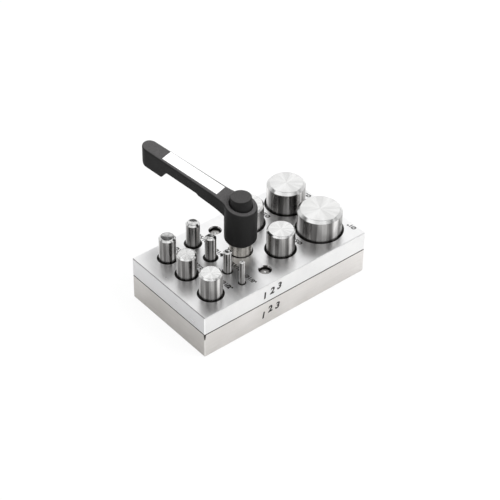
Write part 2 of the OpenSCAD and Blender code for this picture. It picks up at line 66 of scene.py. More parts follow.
def softCorners(points, reach, steps=corner["steps"]):
    # Each inner corner b gives way to the curve (1-t)^2 a + 2t(1-t) b + t^2 c, whose ends a and c lie on
    # its edges, at most a share of an edge away; one more point beyond each end keeps the straight parts
    # flat in their shading
    points = np.asarray(points, float)
    reach = np.broadcast_to(np.asarray(reach, float), len(points))
    t = np.linspace(0, 1, steps + 1)[:, None]
    pieces = [points[:1]]
    for a, b, c, r in zip(points[:-2], points[1:-1], points[2:], reach[1:-1]):
        toA, toC = np.linalg.norm(a - b), np.linalg.norm(c - b)
        reachA, reachC = min(r, corner["share"] * toA), min(r, corner["share"] * toC)
        start, end = b + (a - b) * reachA / toA, b + (c - b) * reachC / toC
        flatA = min(corner["flatReach"] * reachA + corner["flatGap"], corner["flatShare"] * toA)
        flatC = min(corner["flatReach"] * reachC + corner["flatGap"], corner["flatShare"] * toC)
        before, after = b + (a - b) * flatA / toA, b + (c - b) * flatC / toC
        curve = (1 - t) ** 2 * start + 2 * t * (1 - t) * b + t ** 2 * end
        pieces.append(np.vstack([before, curve, after]) if r > 0 else b[None])
    pieces.append(points[-1:])
    return np.vstack(pieces)


def shade(mesh, sharpAngle):
    # Smooth faces, with every edge that bends more than the angle kept sharp
    mesh.polygons.foreach_set("use_smooth", np.ones(len(mesh.polygons), bool))
    mesh.set_sharp_from_angle(angle=math.radians(sharpAngle))
    mesh.update()


def pieceFromMesh(name, mesh, materials, sharpAngle=30):
    # The object that carries a mesh, at the origin and with its shading set
    for material in materials:
        mesh.materials.append(material)
    piece = bpy.data.objects.new(name, mesh)
    bpy.context.scene.collection.objects.link(piece)
    shade(mesh, sharpAngle)
    return piece


def meshFromArrays(name, points, faces):
    # Points in mm and rows of corner numbers become a mesh in metres
    mesh = bpy.data.meshes.new(name)
    mesh.from_pydata((np.asarray(points) * mm).tolist(), [], [[*face] for face in faces])
    mesh.validate()
    return mesh


def turnedMesh(name, radius, height, centre, sides, endRows=0):
    # A profile carried round a vertical axis: x = r cos a, y = r sin a, where r and z may also vary with
    # the angle a. A profile that starts and ends on the axis is closed there by two poles, any other by
    # joining its last ring to its first. The last endRows rings belong to the second material.
    angle = np.arange(sides) * 2 * math.pi / sides
    radius = np.broadcast_to(np.asarray(radius, float).reshape(len(radius), -1), (len(radius), sides))
    height = np.broadcast_to(np.asarray(height, float).reshape(len(height), -1), (len(height), sides))
    poled = not radius[0].any()   # the first ring lies on the axis
    rings = slice(1, -1) if poled else slice(None)
    r, z = radius[rings], height[rings]
    points = np.stack([centre[0] + r * np.cos(angle), centre[1] + r * np.sin(angle), z], -1)
    along = np.cumsum(np.r_[0, np.hypot(np.diff(r[:, 0]), np.diff(z[:, 0]))])
    lay = np.stack(np.broadcast_arrays(np.cos(angle)[None], np.sin(angle)[None], along[:, None]), -1)
    points, lay = points.reshape(-1, 3), lay.reshape(-1, 3)
    faces = gridFaces(len(r), sides, not poled, True).tolist()
    slots = np.zeros(len(faces), int)
    if endRows:
        slots[(len(r) - 1 - endRows) * sides:] = 1
    if poled:
        lowPole, highPole, top = len(points), len(points) + 1, (len(r) - 1) * sides
        j = np.arange(sides)
        faces += np.stack([np.full(sides, lowPole), (j + 1) % sides, j], -1).tolist()
        faces += np.stack([np.full(sides, highPole), top + j, top + (j + 1) % sides], -1).tolist()
        points = np.vstack([points, [[*centre, height[0].mean()], [*centre, height[-1].mean()]]])
        lay = np.vstack([lay, [[0, 0, 0], [0, 0, along[-1]]]])
        slots = np.r_[slots, np.zeros(sides, int), np.full(sides, 1 if endRows else 0)]
    mesh = meshFromArrays(name, points, faces)
    mesh.attributes.new("turnedLay", "FLOAT_VECTOR", "POINT").data.foreach_set("vector", lay.ravel())
    mesh.polygons.foreach_set("material_index", slots.astype(np.int32))
    return mesh


def mergedCopy(name, node):
    # The CAD node's loose triangles, joined at their corners into one closed skin
    skin = bmesh.new()
    skin.from_mesh(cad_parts[node].data)
    bmesh.ops.remove_doubles(skin, verts=skin.verts, dist=weld["cad"])
    bmesh.ops.dissolve_degenerate(skin, edges=skin.edges, dist=weld["sliver"])
    mesh = bpy.data.meshes.new(name)
    skin.to_mesh(mesh)
    skin.free()
    mesh.materials.clear()
    for layer in list(mesh.uv_layers):
        mesh.uv_layers.remove(layer)
    if mesh.has_custom_normals:
        mesh.attributes.remove(mesh.attributes["custom_normal"])
    return mesh


def baked(piece):
    # The piece's mesh with its modifiers applied
    graph = bpy.context.evaluated_depsgraph_get()
    mesh = bpy.data.meshes.new_from_object(piece.evaluated_get(graph), depsgraph=graph)
    piece.modifiers.clear()
    old, piece.data = piece.data, mesh
    bpy.data.meshes.remove(old)
    return piece


def finishPiece(piece, body, slot, *nodes):
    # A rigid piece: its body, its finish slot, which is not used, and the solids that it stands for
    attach(piece, body)
    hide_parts(*nodes)
    return piece


class NodeBench:
    # A short hand for wiring a material: each call makes one node and links what it is given
    def __init__(self, name, tree=None):
        self.material = None if tree else bpy.data.materials.new(name)
        if self.material:
            self.material.use_nodes = True
        self.tree = tree or self.material.node_tree
        self.tree.nodes.clear()

    def add(self, kind, inputs=None, **settings):
        made = self.tree.nodes.new(kind)
        for key, value in settings.items():
            setattr(made, key, value)
        for key, value in (inputs or {}).items():
            if isinstance(value, bpy.types.NodeSocket):
                self.tree.links.new(value, made.inputs[key])
            else:
                made.inputs[key].default_value = value
        return made

    def coordinates(self, scale=(1, 1, 1), turn=(0, 0, 0), attribute=None, shift=(0, 0, 0)):
        if attribute:
            source = self.add("ShaderNodeAttribute", attribute_name=attribute).outputs["Vector"]
        else:
            source = self.add("ShaderNodeTexCoord").outputs["Object"]
        return self.add("ShaderNodeMapping", {"Vector": source, "Scale": scale, "Rotation": turn,
                                              "Location": shift}).outputs[0]

    def noise(self, vector, scale=1.0, detail=2.0, roughness=0.5):
        return self.add("ShaderNodeTexNoise", {"Vector": vector, "Scale": scale, "Detail": detail,
                                               "Roughness": roughness}).outputs["Fac"]

    def ramp(self, value, low, high, lowColour, highColour):
        made = self.add("ShaderNodeValToRGB", {"Fac": value})
        for stop, at, colour in zip(made.color_ramp.elements, (low, high), (lowColour, highColour)):
            stop.position, stop.color = at, (*colour, 1)
        return made.outputs[0]

    def spread(self, value, low, high, outLow, outHigh):
        return self.add("ShaderNodeMapRange", {"Value": value, "From Min": low, "From Max": high,
                                               "To Min": outLow, "To Max": outHigh}).outputs[0]

    def maths(self, operation, a, b=0.0):
        return self.add("ShaderNodeMath", {0: a, 1: b}, operation=operation).outputs[0]

    def blend(self, kind, factor, a, b):
        made = self.add("ShaderNodeMix", {"Factor": factor}, data_type="RGBA", blend_type=kind)
        for key, value in ((6, a), (7, b)):   # the node's two colour inputs; output 2 is its colour
            if isinstance(value, bpy.types.NodeSocket):
                self.tree.links.new(value, made.inputs[key])
            else:
                made.inputs[key].default_value = (*value, 1)
        return made.outputs[2]

    def bump(self, height, strength, distance, normal=None):
        inputs = {"Height": height, "Strength": strength, "Distance": distance}
        if normal is not None:
            inputs["Normal"] = normal
        return self.add("ShaderNodeBump", inputs).outputs[0]

    def drawn(self, anisotropy):
        # The shader inputs that draw a reflection out across the tool's rings round the vertical axis
        tangent = self.add("ShaderNodeTangent", direction_type="RADIAL", axis="Z").outputs[0]
        return {"Anisotropic": anisotropy, "Anisotropic Rotation": 0.25, "Tangent": tangent}

    def shader(self, **inputs):
        surface = self.add("ShaderNodeBsdfPrincipled", inputs)
        self.add("ShaderNodeOutputMaterial", {"Surface": surface.outputs[0]})
        return self.material


def groundSteel(name, look):
    # Ground plate steel: fine lines along one direction, a few longer scratches and a soft mottle; painted
    # shade darkens the faces that look along the block and, less, those across it; the ends' upward bevels
    # are darker
    bench = NodeBench(name)
    lines = bench.noise(bench.coordinates(look["lineScale"]), detail=3.0, roughness=0.6)
    scratches = bench.noise(bench.coordinates(look["scratchScale"], look["scratchTurn"]))
    mottle = bench.noise(bench.coordinates(), look["mottleScale"], detail=4.0, roughness=0.55)
    tint = bench.ramp(mottle, 0.35, 0.68, look["dark"], look["light"])
    streaked = bench.blend("MULTIPLY", look["lineDepth"], tint,
                           bench.ramp(lines, 0.3, 0.7, look["lineShade"], (1, 1, 1)))
    facing = bench.add("ShaderNodeSeparateXYZ", {0: bench.add("ShaderNodeTexCoord").outputs["Normal"]})
    endwards = bench.maths("ABSOLUTE", facing.outputs["X"])
    sidewards = bench.maths("ABSOLUTE", facing.outputs["Y"])
    # painted shade: the faces that look along the block and across it are darkened by their facing
    ends = bench.spread(endwards, *look["square"], 0.0, 1.0)
    sides = bench.spread(sidewards, *look["square"], 0.0, 1.0)
    # the end faces' bevels that lean upwards are darker
    endBevelDark = bench.maths("MULTIPLY", bench.spread(endwards, *look["endBevelDarkFrom"], 0.0, 1.0),
                       bench.spread(endwards, *look["endBevelDarkTo"], 1.0, 0.0))
    endBevelDark = bench.maths("MULTIPLY", endBevelDark, bench.spread(facing.outputs["Z"], *look["endBevelDarkUp"], 0.0, 1.0))
    streaked = bench.blend("MULTIPLY", ends, streaked, look["ends"])
    streaked = bench.blend("MULTIPLY", sides, streaked, look["sides"])
    streaked = bench.blend("MULTIPLY", endBevelDark, streaked, look["endBevelDark"])
    rough = bench.maths("ADD", bench.spread(mottle, 0.3, 0.7, look["roughLow"], look["roughHigh"]),
                        bench.spread(scratches, 0.4, 0.7, 0.0, look["scratchRough"]))
    fine = bench.bump(lines, look["lineBump"], look["lineHeight"])
    normal = bench.bump(scratches, look["scratchBump"], look["scratchHeight"], fine)
    return bench.shader(**{"Base Color": streaked, "Metallic": 1.0, "Roughness": rough, "Normal": normal})


def turnedSteel(name, look):
    # Turned and polished steel: painted reflection bands along the piece, dark and light by the turn round
    # the axis, and a few dull patches; its fine rings draw every reflection out along the axis
    bench = NodeBench(name)
    # painted reflection bands: light and dark by the turn round the axis, hardly changing along it
    streak = bench.noise(bench.coordinates(look["reflectionBandScale"], attribute="turnedLay"), detail=3.0,
                         roughness=0.6)
    rings = bench.noise(bench.coordinates(look["ringScale"], attribute="turnedLay"))
    patch = bench.noise(bench.coordinates(), look["patchScale"], detail=4.0, roughness=0.6)
    tint = bench.blend("MULTIPLY", look["patchDepth"],
                       bench.ramp(streak, *look["reflectionBandSpan"], look["dark"], look["light"]),
                       bench.ramp(patch, 0.38, 0.62, look["patchShade"], (1, 1, 1)))
    rough = bench.maths("ADD", bench.spread(patch, 0.35, 0.65, look["roughLow"], look["roughHigh"]),
                        bench.spread(rings, 0.3, 0.7, 0.0, look["ringRough"]))
    normal = bench.bump(rings, look["ringBump"], look["ringHeight"])
    return bench.shader(**{"Base Color": tint, "Metallic": 1.0, "Roughness": rough, "Normal": normal,
                           **bench.drawn(look["anisotropy"])})


def facedSteel(name, look):
    # The turned end of a punch: painted reflection rays from the centre, where the rings would throw the
    # light, and small dents
    bench = NodeBench(name)
    # painted reflection rays, light and dark by the turn round the axis
    rays = bench.noise(bench.coordinates(look["reflectionRayScale"], attribute="turnedLay"))
    rings = bench.noise(bench.coordinates(look["ringScale"], attribute="turnedLay"), detail=1.0)
    dents = bench.noise(bench.coordinates(), look["dentScale"], detail=3.0, roughness=0.6)
    tint = bench.ramp(rays, 0.36, 0.64, look["dark"], look["light"])
    rough = bench.spread(dents, 0.35, 0.7, look["roughLow"], look["roughHigh"])
    normal = bench.bump(dents, look["dentBump"], look["dentHeight"],
                        bench.bump(rings, look["ringBump"], look["ringHeight"]))
    return bench.shader(**{"Base Color": tint, "Metallic": 1.0, "Roughness": rough, "Normal": normal,
                           **bench.drawn(look["anisotropy"])})


def coatedMetal(name, look):
    # Powder coat: a fine pebbled skin over the casting, a little lighter on its high grains, and with
    # painted light on the faces that look up
    bench = NodeBench(name)
    grain = bench.noise(bench.coordinates(), look["grainScale"], detail=3.0, roughness=0.6)
    cloud = bench.noise(bench.coordinates(shift=look["cloudShift"]), look["cloudScale"], detail=3.0)
    tint = bench.blend("MIX", bench.spread(cloud, 0.35, 0.65, 0.0, look["cloudDepth"]),
                       bench.ramp(grain, 0.35, 0.7, look["dark"], look["light"]), look["worn"])
    facing = bench.add("ShaderNodeSeparateXYZ", {0: bench.add("ShaderNodeTexCoord").outputs["Normal"]})
    # painted light: the faces that look up are mixed towards a lighter colour
    paintedTopLightShare = bench.maths("MULTIPLY", bench.spread(facing.outputs["Z"], *look["paintedTopLightUp"], 0.0, 1.0),
                        bench.spread(grain, 0.3, 0.6, 0.5, 1.0))
    tint = bench.blend("MIX", paintedTopLightShare, tint, look["paintedTopLight"])
    rough = bench.spread(grain, 0.3, 0.7, look["roughLow"], look["roughHigh"])
    normal = bench.bump(grain, look["grainBump"], look["grainHeight"])
    return bench.shader(**{"Base Color": tint, "Roughness": rough, "Normal": normal,
                           "Specular IOR Level": look["gloss"]})


def film(name, look):
    # A thin film, mark or vinyl, and the painted shade in the plates' bores and seam: one noise decides how
    # dark and how rough each spot is
    bench = NodeBench(name)
    grain = bench.noise(bench.coordinates(), look["scale"], look["detail"])
    inputs = {"Base Color": bench.ramp(grain, 0.3, 0.7, look["dark"], look["light"]),
              "Roughness": bench.spread(grain, 0.3, 0.7, look["roughLow"], look["roughHigh"]),
              "Metallic": look["metallic"]}
    if look["bump"]:
        inputs["Normal"] = bench.bump(grain, look["bump"], look["bumpHeight"])
    return bench.shader(**inputs)


# Scales count noise cells for each metre, or each mm along a turned surface. Heights are in metres. The
# pairs say how far a face's normal leans along an axis where a tint fades in or out.
groundLook = {"lineShade": (0.72, 0.72, 0.72), "lineHeight": 0.00003, "scratchHeight": 0.00004,
              "scratchRough": 0.07, "square": (0.8, 0.95), "endBevelDarkFrom": (0.6, 0.68),
              "endBevelDarkTo": (0.74, 0.8), "endBevelDarkUp": (0.5, 0.65)}
# ends and sides: the painted shade on the faces that look along and across the block
upperLook = dict(groundLook, lineScale=(3200, 45, 3200), scratchScale=(900, 30, 900),
                 scratchTurn=(0, 0, 0.35), mottleScale=60, dark=(0.90, 0.90, 0.905),
                 light=(0.97, 0.97, 0.97), lineDepth=0.1, roughLow=0.27, roughHigh=0.33, lineBump=0.01,
                 scratchBump=0.02, ends=(0.68, 0.68, 0.684), sides=(0.83, 0.83, 0.825),
                 endBevelDark=(0.36, 0.35, 0.35))
# the lower plate's darker tone is partly painted shade from the floor's contact shadow and partly its own
# warmer steel
lowerLook = dict(groundLook, lineScale=(45, 45, 3000), scratchScale=(30, 30, 900),
                 scratchTurn=(0.1, 0.1, 0), mottleScale=55, dark=(0.76, 0.745, 0.725),
                 light=(0.86, 0.845, 0.83), lineDepth=0.3, roughLow=0.3, roughHigh=0.42, lineBump=0.1,
                 scratchBump=0.08, ends=(0.72, 0.71, 0.70), sides=(0.90, 0.89, 0.885),
                 endBevelDark=(0.8, 0.79, 0.78))
washerLook = dict(lowerLook, dark=(0.40, 0.39, 0.38), light=(0.52, 0.51, 0.50))
# dark and light, here and in the hardware and collar looks, are the painted reflection bands
punchLook = {"reflectionBandScale": (1.7, 1.7, 0.004), "reflectionBandSpan": (0.4, 0.6), "ringScale": (0.4, 0.4, 6.0),
             "ringRough": 0.05, "ringBump": 0.004, "ringHeight": 0.00002, "patchScale": 200,
             "patchDepth": 0.12, "patchShade": (0.62, 0.6, 0.58), "dark": (0.15, 0.147, 0.144),
             "light": (0.78, 0.77, 0.76), "roughLow": 0.17, "roughHigh": 0.21, "anisotropy": 0.95}
# dark and light here and in the small ends are the painted reflection rays
endLook = {"reflectionRayScale": (1.9, 1.9, 0.05), "ringScale": (0.2, 0.2, 5.0), "ringBump": 0.002,
           "ringHeight": 0.00002, "dentScale": 300, "dentBump": 0.002, "dentHeight": 0.00006,
           "dark": (0.72, 0.72, 0.715), "light": (0.86, 0.86, 0.855), "roughLow": 0.21,
           "roughHigh": 0.23, "anisotropy": 0.35}
smallEndLook = dict(endLook, reflectionRayScale=(1.3, 1.3, 0.05), dark=(0.54, 0.54, 0.535),
                    light=(0.88, 0.88, 0.875), roughLow=0.19, roughHigh=0.2, anisotropy=0.5)
hardwareLook = dict(punchLook, dark=(0.34, 0.33, 0.32), light=(0.5, 0.49, 0.48), roughLow=0.22,
                    roughHigh=0.35, anisotropy=0.3)
collarLook = dict(punchLook, dark=(0.42, 0.40, 0.37), light=(0.66, 0.64, 0.60), roughLow=0.2,
                  roughHigh=0.3, anisotropy=0.8)
# the top colour of the coat and button looks is painted light on the faces that look up
coatLook = {"grainScale": 2600, "grainBump": 0.35, "grainHeight": 0.00006, "cloudScale": 90,
            "cloudShift": (0.3, 0.1, 0.2), "cloudDepth": 0.35, "dark": (0.009, 0.009, 0.009),
            "light": (0.016, 0.0158, 0.0158), "worn": (0.019, 0.0187, 0.0187), "roughLow": 0.42,
            "roughHigh": 0.60, "gloss": 0.13, "paintedTopLight": (0.096, 0.093, 0.094), "paintedTopLightUp": (0.6, 0.95)}
buttonLook = dict(coatLook, grainScale=3600, dark=(0.006, 0.0059, 0.0059), light=(0.012, 0.0117, 0.0117),
                  roughLow=0.36, roughHigh=0.48, grainBump=0.15, paintedTopLight=(0.062, 0.060, 0.060))
markLook = {"scale": 2200, "detail": 3.0, "dark": (0.012, 0.011, 0.010), "light": (0.05, 0.048, 0.046),
            "roughLow": 0.5, "roughHigh": 0.8, "metallic": 0.2, "bump": 0}
# painted shade for the bores, the seam between the plates and the pry notch
paintedShadeLook = {"scale": 300, "detail": 3.0, "dark": (0.030, 0.028, 0.027), "light": (0.09, 0.087, 0.083),
            "roughLow": 0.45, "roughHigh": 0.6, "metallic": 1.0, "bump": 0}
vinylLook = {"scale": 900, "detail": 4.0, "dark": (0.90, 0.90, 0.90), "light": (0.94, 0.94, 0.94),
             "roughLow": 0.38, "roughHigh": 0.5, "metallic": 0.0, "bump": 0.05, "bumpHeight": 0.00004}

upperSteel = groundSteel("upperPlateSteel", upperLook)
lowerSteel = groundSteel("lowerPlateSteel", lowerLook)
punchSteel = turnedSteel("punchSteel", punchLook)
punchEnd = facedSteel("punchEnd", endLook)
smallEnd = facedSteel("smallPunchEnd", smallEndLook)
hardwareSteel = turnedSteel("hardwareSteel", hardwareLook)
collarSteel = turnedSteel("collarSteel", collarLook)
powderCoat = coatedMetal("powderCoat", coatLook)
buttonSkin = coatedMetal("buttonSkin", buttonLook)
stampedMark = film("stampedMark", markLook)
# painted shade in the plates' recesses and seam
paintedShadeSteel = film("paintedShadeSteel", paintedShadeLook)
labelVinyl = film("labelVinyl", vinylLook)
print("disc cutter: materials ready")


punches = {
    # name: diameter, place along and across the block, length, bevel, dish of the struck end
    "punch_1_8": (3.175, -23.5, -21.7, 42.7, 0.7, 0.05),
    "punch_3_16": (4.7625, -23.5, -9.3, 41.7, 0.7, 0.30),
    "punch_1_4": (6.35, -23.5, 5.4, 42.8, 1.0, 0.35),
    "punch_5_16": (7.9375, -23.5, 21.0, 42.65, 1.0, 0.25),
    "punch_3_8": (9.525, -41.9, 20.0, 42.5, 1.0, 0.22),
    "punch_7_16": (11.1125, -41.9, 2.95, 41.6, 1.0, 0.10),
    "punch_1_2": (12.7, -41.9, -17.85, 42.2, 1.0, 0.10),
    "punch_5_8": (15.875, 11.3, -12.7, 41.65, 1.0, 0.08),
    "punch_3_4": (19.05, 11.3, 16.5, 41.35, 1.0, 0.08),
    "punch_7_8": (22.225, 39.6, 16.1, 42.8, 1.65, 0.08),
    "punch_1": (25.4, 39.6, -12.8, 41.9, 1.65, 0.08)}
punchDetail = {"footEdge": 0.06, "edge": 0.12, "bevelEdge": 0.22, "sides": 128, "faceRings": 10,
               "bevelRings": 7, "wide": 10}   # over the wide diameter an end has the wide punches' rays

for name, (diameter, column, row, length, bevel, dish) in punches.items():
    r = diameter / 2
    outline = softCorners([(0, 0), (r, 0), (r, length - bevel), (r - bevel, length), (0, length)],
                          [0, punchDetail["footEdge"], punchDetail["edge"], punchDetail["bevelEdge"], 0])
    faceR = outline[-2, 0]   # the struck face sinks towards its centre: z = length - dish (1 - (r/R)^2)
    rho = faceR * (1 - np.linspace(0, 1, punchDetail["faceRings"] + 1)[1:])
    face = np.stack([rho, length - dish * (1 - (rho / faceR) ** 2)], -1)
    outline = np.vstack([outline[:-1], face])
    mesh = turnedMesh(name, outline[:, 0], outline[:, 1], (column, row), punchDetail["sides"],
                      punchDetail["faceRings"] + punchDetail["bevelRings"])
    end = punchEnd if diameter > punchDetail["wide"] else smallEnd
    finishPiece(pieceFromMesh(name + "_steel", mesh, [punchSteel, end]), name, "punch_steel",
                name + "_inch")
print("disc cutter: punches turned")

pin = {"diameter": 6.35, "foot": 4.8, "top": 25.8, "bevel": 0.6, "edge": 0.1, "sides": 96, "endRings": 10,
       "dimple": {"radius": 0.9, "floor": 0.5, "wall": 0.35, "depth": 0.4},
       "rows": {"front": -21.1, "rear": 22.3}}
for side, row in pin["rows"].items():
    r, bevel, dimple = pin["diameter"] / 2, pin["bevel"], pin["dimple"]
    outline = softCorners([(0, pin["foot"]), (r - bevel, pin["foot"]), (r, pin["foot"] + bevel),
                           (r, pin["top"] - bevel), (r - bevel, pin["top"]), (dimple["radius"], pin["top"]),
                           (dimple["floor"], pin["top"] - dimple["wall"]),
                           (0, pin["top"] - dimple["depth"])], pin["edge"])
    mesh = turnedMesh("pin_" + side, outline[:, 0], outline[:, 1], (clampAxis[0], row), pin["sides"],
                      pin["endRings"])
    finishPiece(pieceFromMesh("guide_pin_" + side + "_steel", mesh, [hardwareSteel, punchEnd]), "base",
                "pin_steel", "guide_pin_" + side)
print("disc cutter: guide pins set")

plateSharp = 25   # edges of the plates that bend more than this stay sharp
marks = {"letter": 3.5, "digit": 5.9, "depth": 0.22, "above": 0.3, "letterBold": 0.034,
         "digitBold": 0.045, "letterSlant": 0.0, "digitSlant": 0.16, "curveSteps": 3}
holeMarks = {
    # text: centre on the plate, and 1 where it is read from the left end or -1 from the right end
    "Ø1/8\"": (-18.2, -22.0, 1), "Ø3/16\"": (-17.6, -9.4, 1), "Ø1/4\"": (-17.4, 5.4, 1),
    "Ø5/16\"": (-16.8, 21.0, 1), "Ø3/8\"": (-33.4, 20.2, 1), "Ø7/16\"": (-33.3, 2.9, 1),
    "Ø1/2\"": (-31.2, -17.9, 1), "Ø3/4\"": (24.2, 16.4, -1), "Ø5/8\"": (22.8, -12.8, -1),
    "Ø7/8\"": (54.5, 16.1, -1), "Ø1\"": (55.0, -23.0, -1)}
edgeDigits = {
    # plate: each digit, its place along the front, its height and its lean
    "upper_plate": [("1", -15.9, 20.7, -4), ("2", -10.6, 21.6, 3), ("3", -5.7, 22.5, 5)],
    "lower_plate": [("1", -16.7, 7.0, 2), ("2", -11.8, 9.2, -3), ("3", -6.7, 8.9, 6)]}
# Where painted shade darkens the bores, the seam and the pry notch: reaches round the holes and the seam,
# and how far a face leans
paintedShadeReach = {"clampHole": 6.9, "holeRim": 1.25, "pinRim": 0.5, "seamReach": 0.6, "seamLean": (0.3, 0.95),
         "wallLean": 0.98, "pinWallLean": 0.3, "notchLean": 0.3, "notchUp": 0.04}


def letteringMesh(text, place, kind):
    # A line of plain figures as a closed prism that reaches from depth under the face to just above it
    size, depth = marks[kind], marks["depth"]
    curve = bpy.data.curves.new("figures", "FONT")
    curve.body, curve.size, curve.align_x, curve.align_y = text, size * mm, "CENTER", "CENTER"
    curve.extrude = (depth + marks["above"]) / 2 * mm
    curve.offset = marks[kind + "Bold"] * size * mm
    curve.shear = marks[kind + "Slant"]
    curve.resolution_u = marks["curveSteps"]
    holder = bpy.data.objects.new("figures", curve)
    bpy.context.scene.collection.objects.link(holder)
    bpy.context.view_layer.update()
    graph = bpy.context.evaluated_depsgraph_get()
    mesh = bpy.data.meshes.new_from_object(holder.evaluated_get(graph), depsgraph=graph)
    bpy.data.objects.remove(holder)
    mesh.transform(place @ Matrix.Translation((0, 0, (marks["above"] - depth) / 2 * mm)))
    return mesh


def joinedMesh(name, meshes):
    # Several closed meshes as one, all facing outwards
    joined = bmesh.new()
    for mesh in meshes:
        joined.from_mesh(mesh)
        bpy.data.meshes.remove(mesh)
    bmesh.ops.remove_doubles(joined, verts=joined.verts, dist=weld["joined"])
    bmesh.ops.recalc_face_normals(joined, faces=joined.faces)
    mesh = bpy.data.meshes.new(name)
    joined.to_mesh(mesh)
    joined.free()
    return mesh


def paintedShadeFaces(mesh):
    # 1 for the faces that take the painted shade: inside the holes, on the edges at the seam between the
    # plates and in the pry notch
    count = len(mesh.polygons)
    centre, normal = np.zeros(count * 3), np.zeros(count * 3)
    mesh.polygons.foreach_get("center", centre)
    mesh.polygons.foreach_get("normal", normal)
    centre, normal = centre.reshape(-1, 3) / mm, normal.reshape(-1, 3)
    lean = np.abs(normal)

    def within(places):
        # True where a face's centre is nearer to one of the axes than the radius given with it
        near = np.zeros(count, bool)
        for x, y, r in places:
            near |= np.hypot(centre[:, 0] - x, centre[:, 1] - y) < r
        return near

    inHole = within([(x, y, d / 2 + paintedShadeReach["holeRim"]) for d, x, y, *_ in punches.values()]
                    + [(*clampAxis, paintedShadeReach["clampHole"])])
    inPinHole = within([(clampAxis[0], row, pin["diameter"] / 2 + paintedShadeReach["pinRim"])
                        for row in pin["rows"].values()])
    low, high = paintedShadeReach["seamLean"]
    seam = (lean[:, 2] > low) & (lean[:, 2] < high)
    seam &= np.abs(centre[:, 2] - block["seam"]) < paintedShadeReach["seamReach"]
    notch = (lean[:, 0] > paintedShadeReach["notchLean"]) & (lean[:, 1] > paintedShadeReach["notchLean"])
    notch &= (normal[:, 2] > paintedShadeReach["notchUp"]) & ~inHole
    bore = inHole & (lean[:, 2] < paintedShadeReach["wallLean"]) | inPinHole & (lean[:, 2] < paintedShadeReach["pinWallLean"])
    return (bore | seam & ~inHole | notch).astype(np.int32)


def stampedPlate(node, steel, slot, body, figures):
    # The plate's own solid with its figures cut out of it
    mesh = mergedCopy(node + "_skin", node)
    # the bores, the seam and the pry notch take the painted shade
    mesh.polygons.foreach_set("material_index", paintedShadeFaces(mesh))
    piece = pieceFromMesh(node + "_skin", mesh, [steel, paintedShadeSteel], plateSharp)
    cutter = pieceFromMesh("stamp", joinedMesh("stamp", figures), [stampedMark])
    cut = piece.modifiers.new("stamped", "BOOLEAN")
    cut.operation, cut.solver, cut.object, cut.material_mode = "DIFFERENCE", "EXACT", cutter, "TRANSFER"
    baked(piece)
    bpy.data.objects.remove(cutter)
    shade(piece.data, plateSharp)
    slots = np.zeros(len(piece.data.polygons), np.int32)
    piece.data.polygons.foreach_get("material_index", slots)
    piece.data.polygons.foreach_set("use_smooth", slots == 1)   # only the bores are round
    return finishPiece(piece, body, slot, node)


topFigures = [letteringMesh(text, Matrix.Translation((x * mm, y * mm, block["top"] * mm))
                            @ Matrix.Rotation(-facing * math.pi / 2, 4, "Z"), "letter")
              for text, (x, y, facing) in holeMarks.items()]
edgeFigures = {plate: [letteringMesh(text, Matrix.Translation((x * mm, block["front"] * mm, z * mm))
                                     @ Matrix.Rotation(math.pi / 2, 4, "X")
                                     @ Matrix.Rotation(math.radians(-lean), 4, "Z"), "digit")
                       for text, x, z, lean in digits]
               for plate, digits in edgeDigits.items()}
stampedPlate("upper_plate", upperSteel, "upper_steel", "upper", topFigures + edgeFigures["upper_plate"])
stampedPlate("lower_plate", lowerSteel, "lower_steel", "base", edgeFigures["lower_plate"])
print("disc cutter: plates stamped")


teeth = {"count": 24, "tip": 5.15, "root": 4.65, "play": 0.08}
turnOfArm = math.radians(105.2)   # the arm's direction, from the block's long side


def toothRadius(sides, tip, root):
    # The teeth's outline: radius falls and rises between tip and root in straight flanks round the axis
    phase = (np.arange(sides) * 2 * math.pi / sides - turnOfArm) * teeth["count"] / (2 * math.pi)
    return root + (tip - root) * np.abs(2 * (phase - np.floor(phase)) - 1)


insert = {"foot": 24.2, "collar": 6.35, "hub": 34.4, "toothTop": 37.4, "toothEdge": 0.2, "top": 45.5,
          "spigot": 4.6, "spigotEdge": 0.3, "threadBore": 4.02, "threadLead": 0.2, "threadGap": 0.05,
          "screwBore": 2.52, "edge": 0.3, "sides": 192}
toothed = toothRadius(insert["sides"], teeth["tip"], teeth["root"])
level = np.ones(insert["sides"])
rows = [(insert["threadBore"] + insert["threadLead"], insert["foot"]),
        (insert["collar"] - insert["edge"], insert["foot"]),
        (insert["collar"], insert["foot"] + insert["edge"]),
        (insert["collar"], insert["hub"] - insert["edge"]),
        (insert["collar"] - insert["edge"], insert["hub"]), (toothed, insert["hub"]),
        (toothed, insert["toothTop"] - insert["toothEdge"]),
        (toothed - insert["toothEdge"], insert["toothTop"]), (insert["spigot"], insert["toothTop"]),
        (insert["spigot"], insert["top"] - insert["spigotEdge"]),
        (insert["spigot"] - insert["spigotEdge"], insert["top"]), (insert["screwBore"], insert["top"]),
        (insert["screwBore"], insert["hub"] + insert["threadGap"]),
        (insert["threadBore"], insert["hub"] + insert["threadGap"]),
        (insert["threadBore"], insert["foot"] + insert["threadLead"])]
mesh = turnedMesh("insert", np.stack([r * level for r, z in rows]), np.stack([z * level for r, z in rows]),
                  clampAxis, insert["sides"])
finishPiece(pieceFromMesh("insert_collar", mesh, [collarSteel]), "clamp", "insert_steel",
            "serrated_insert")

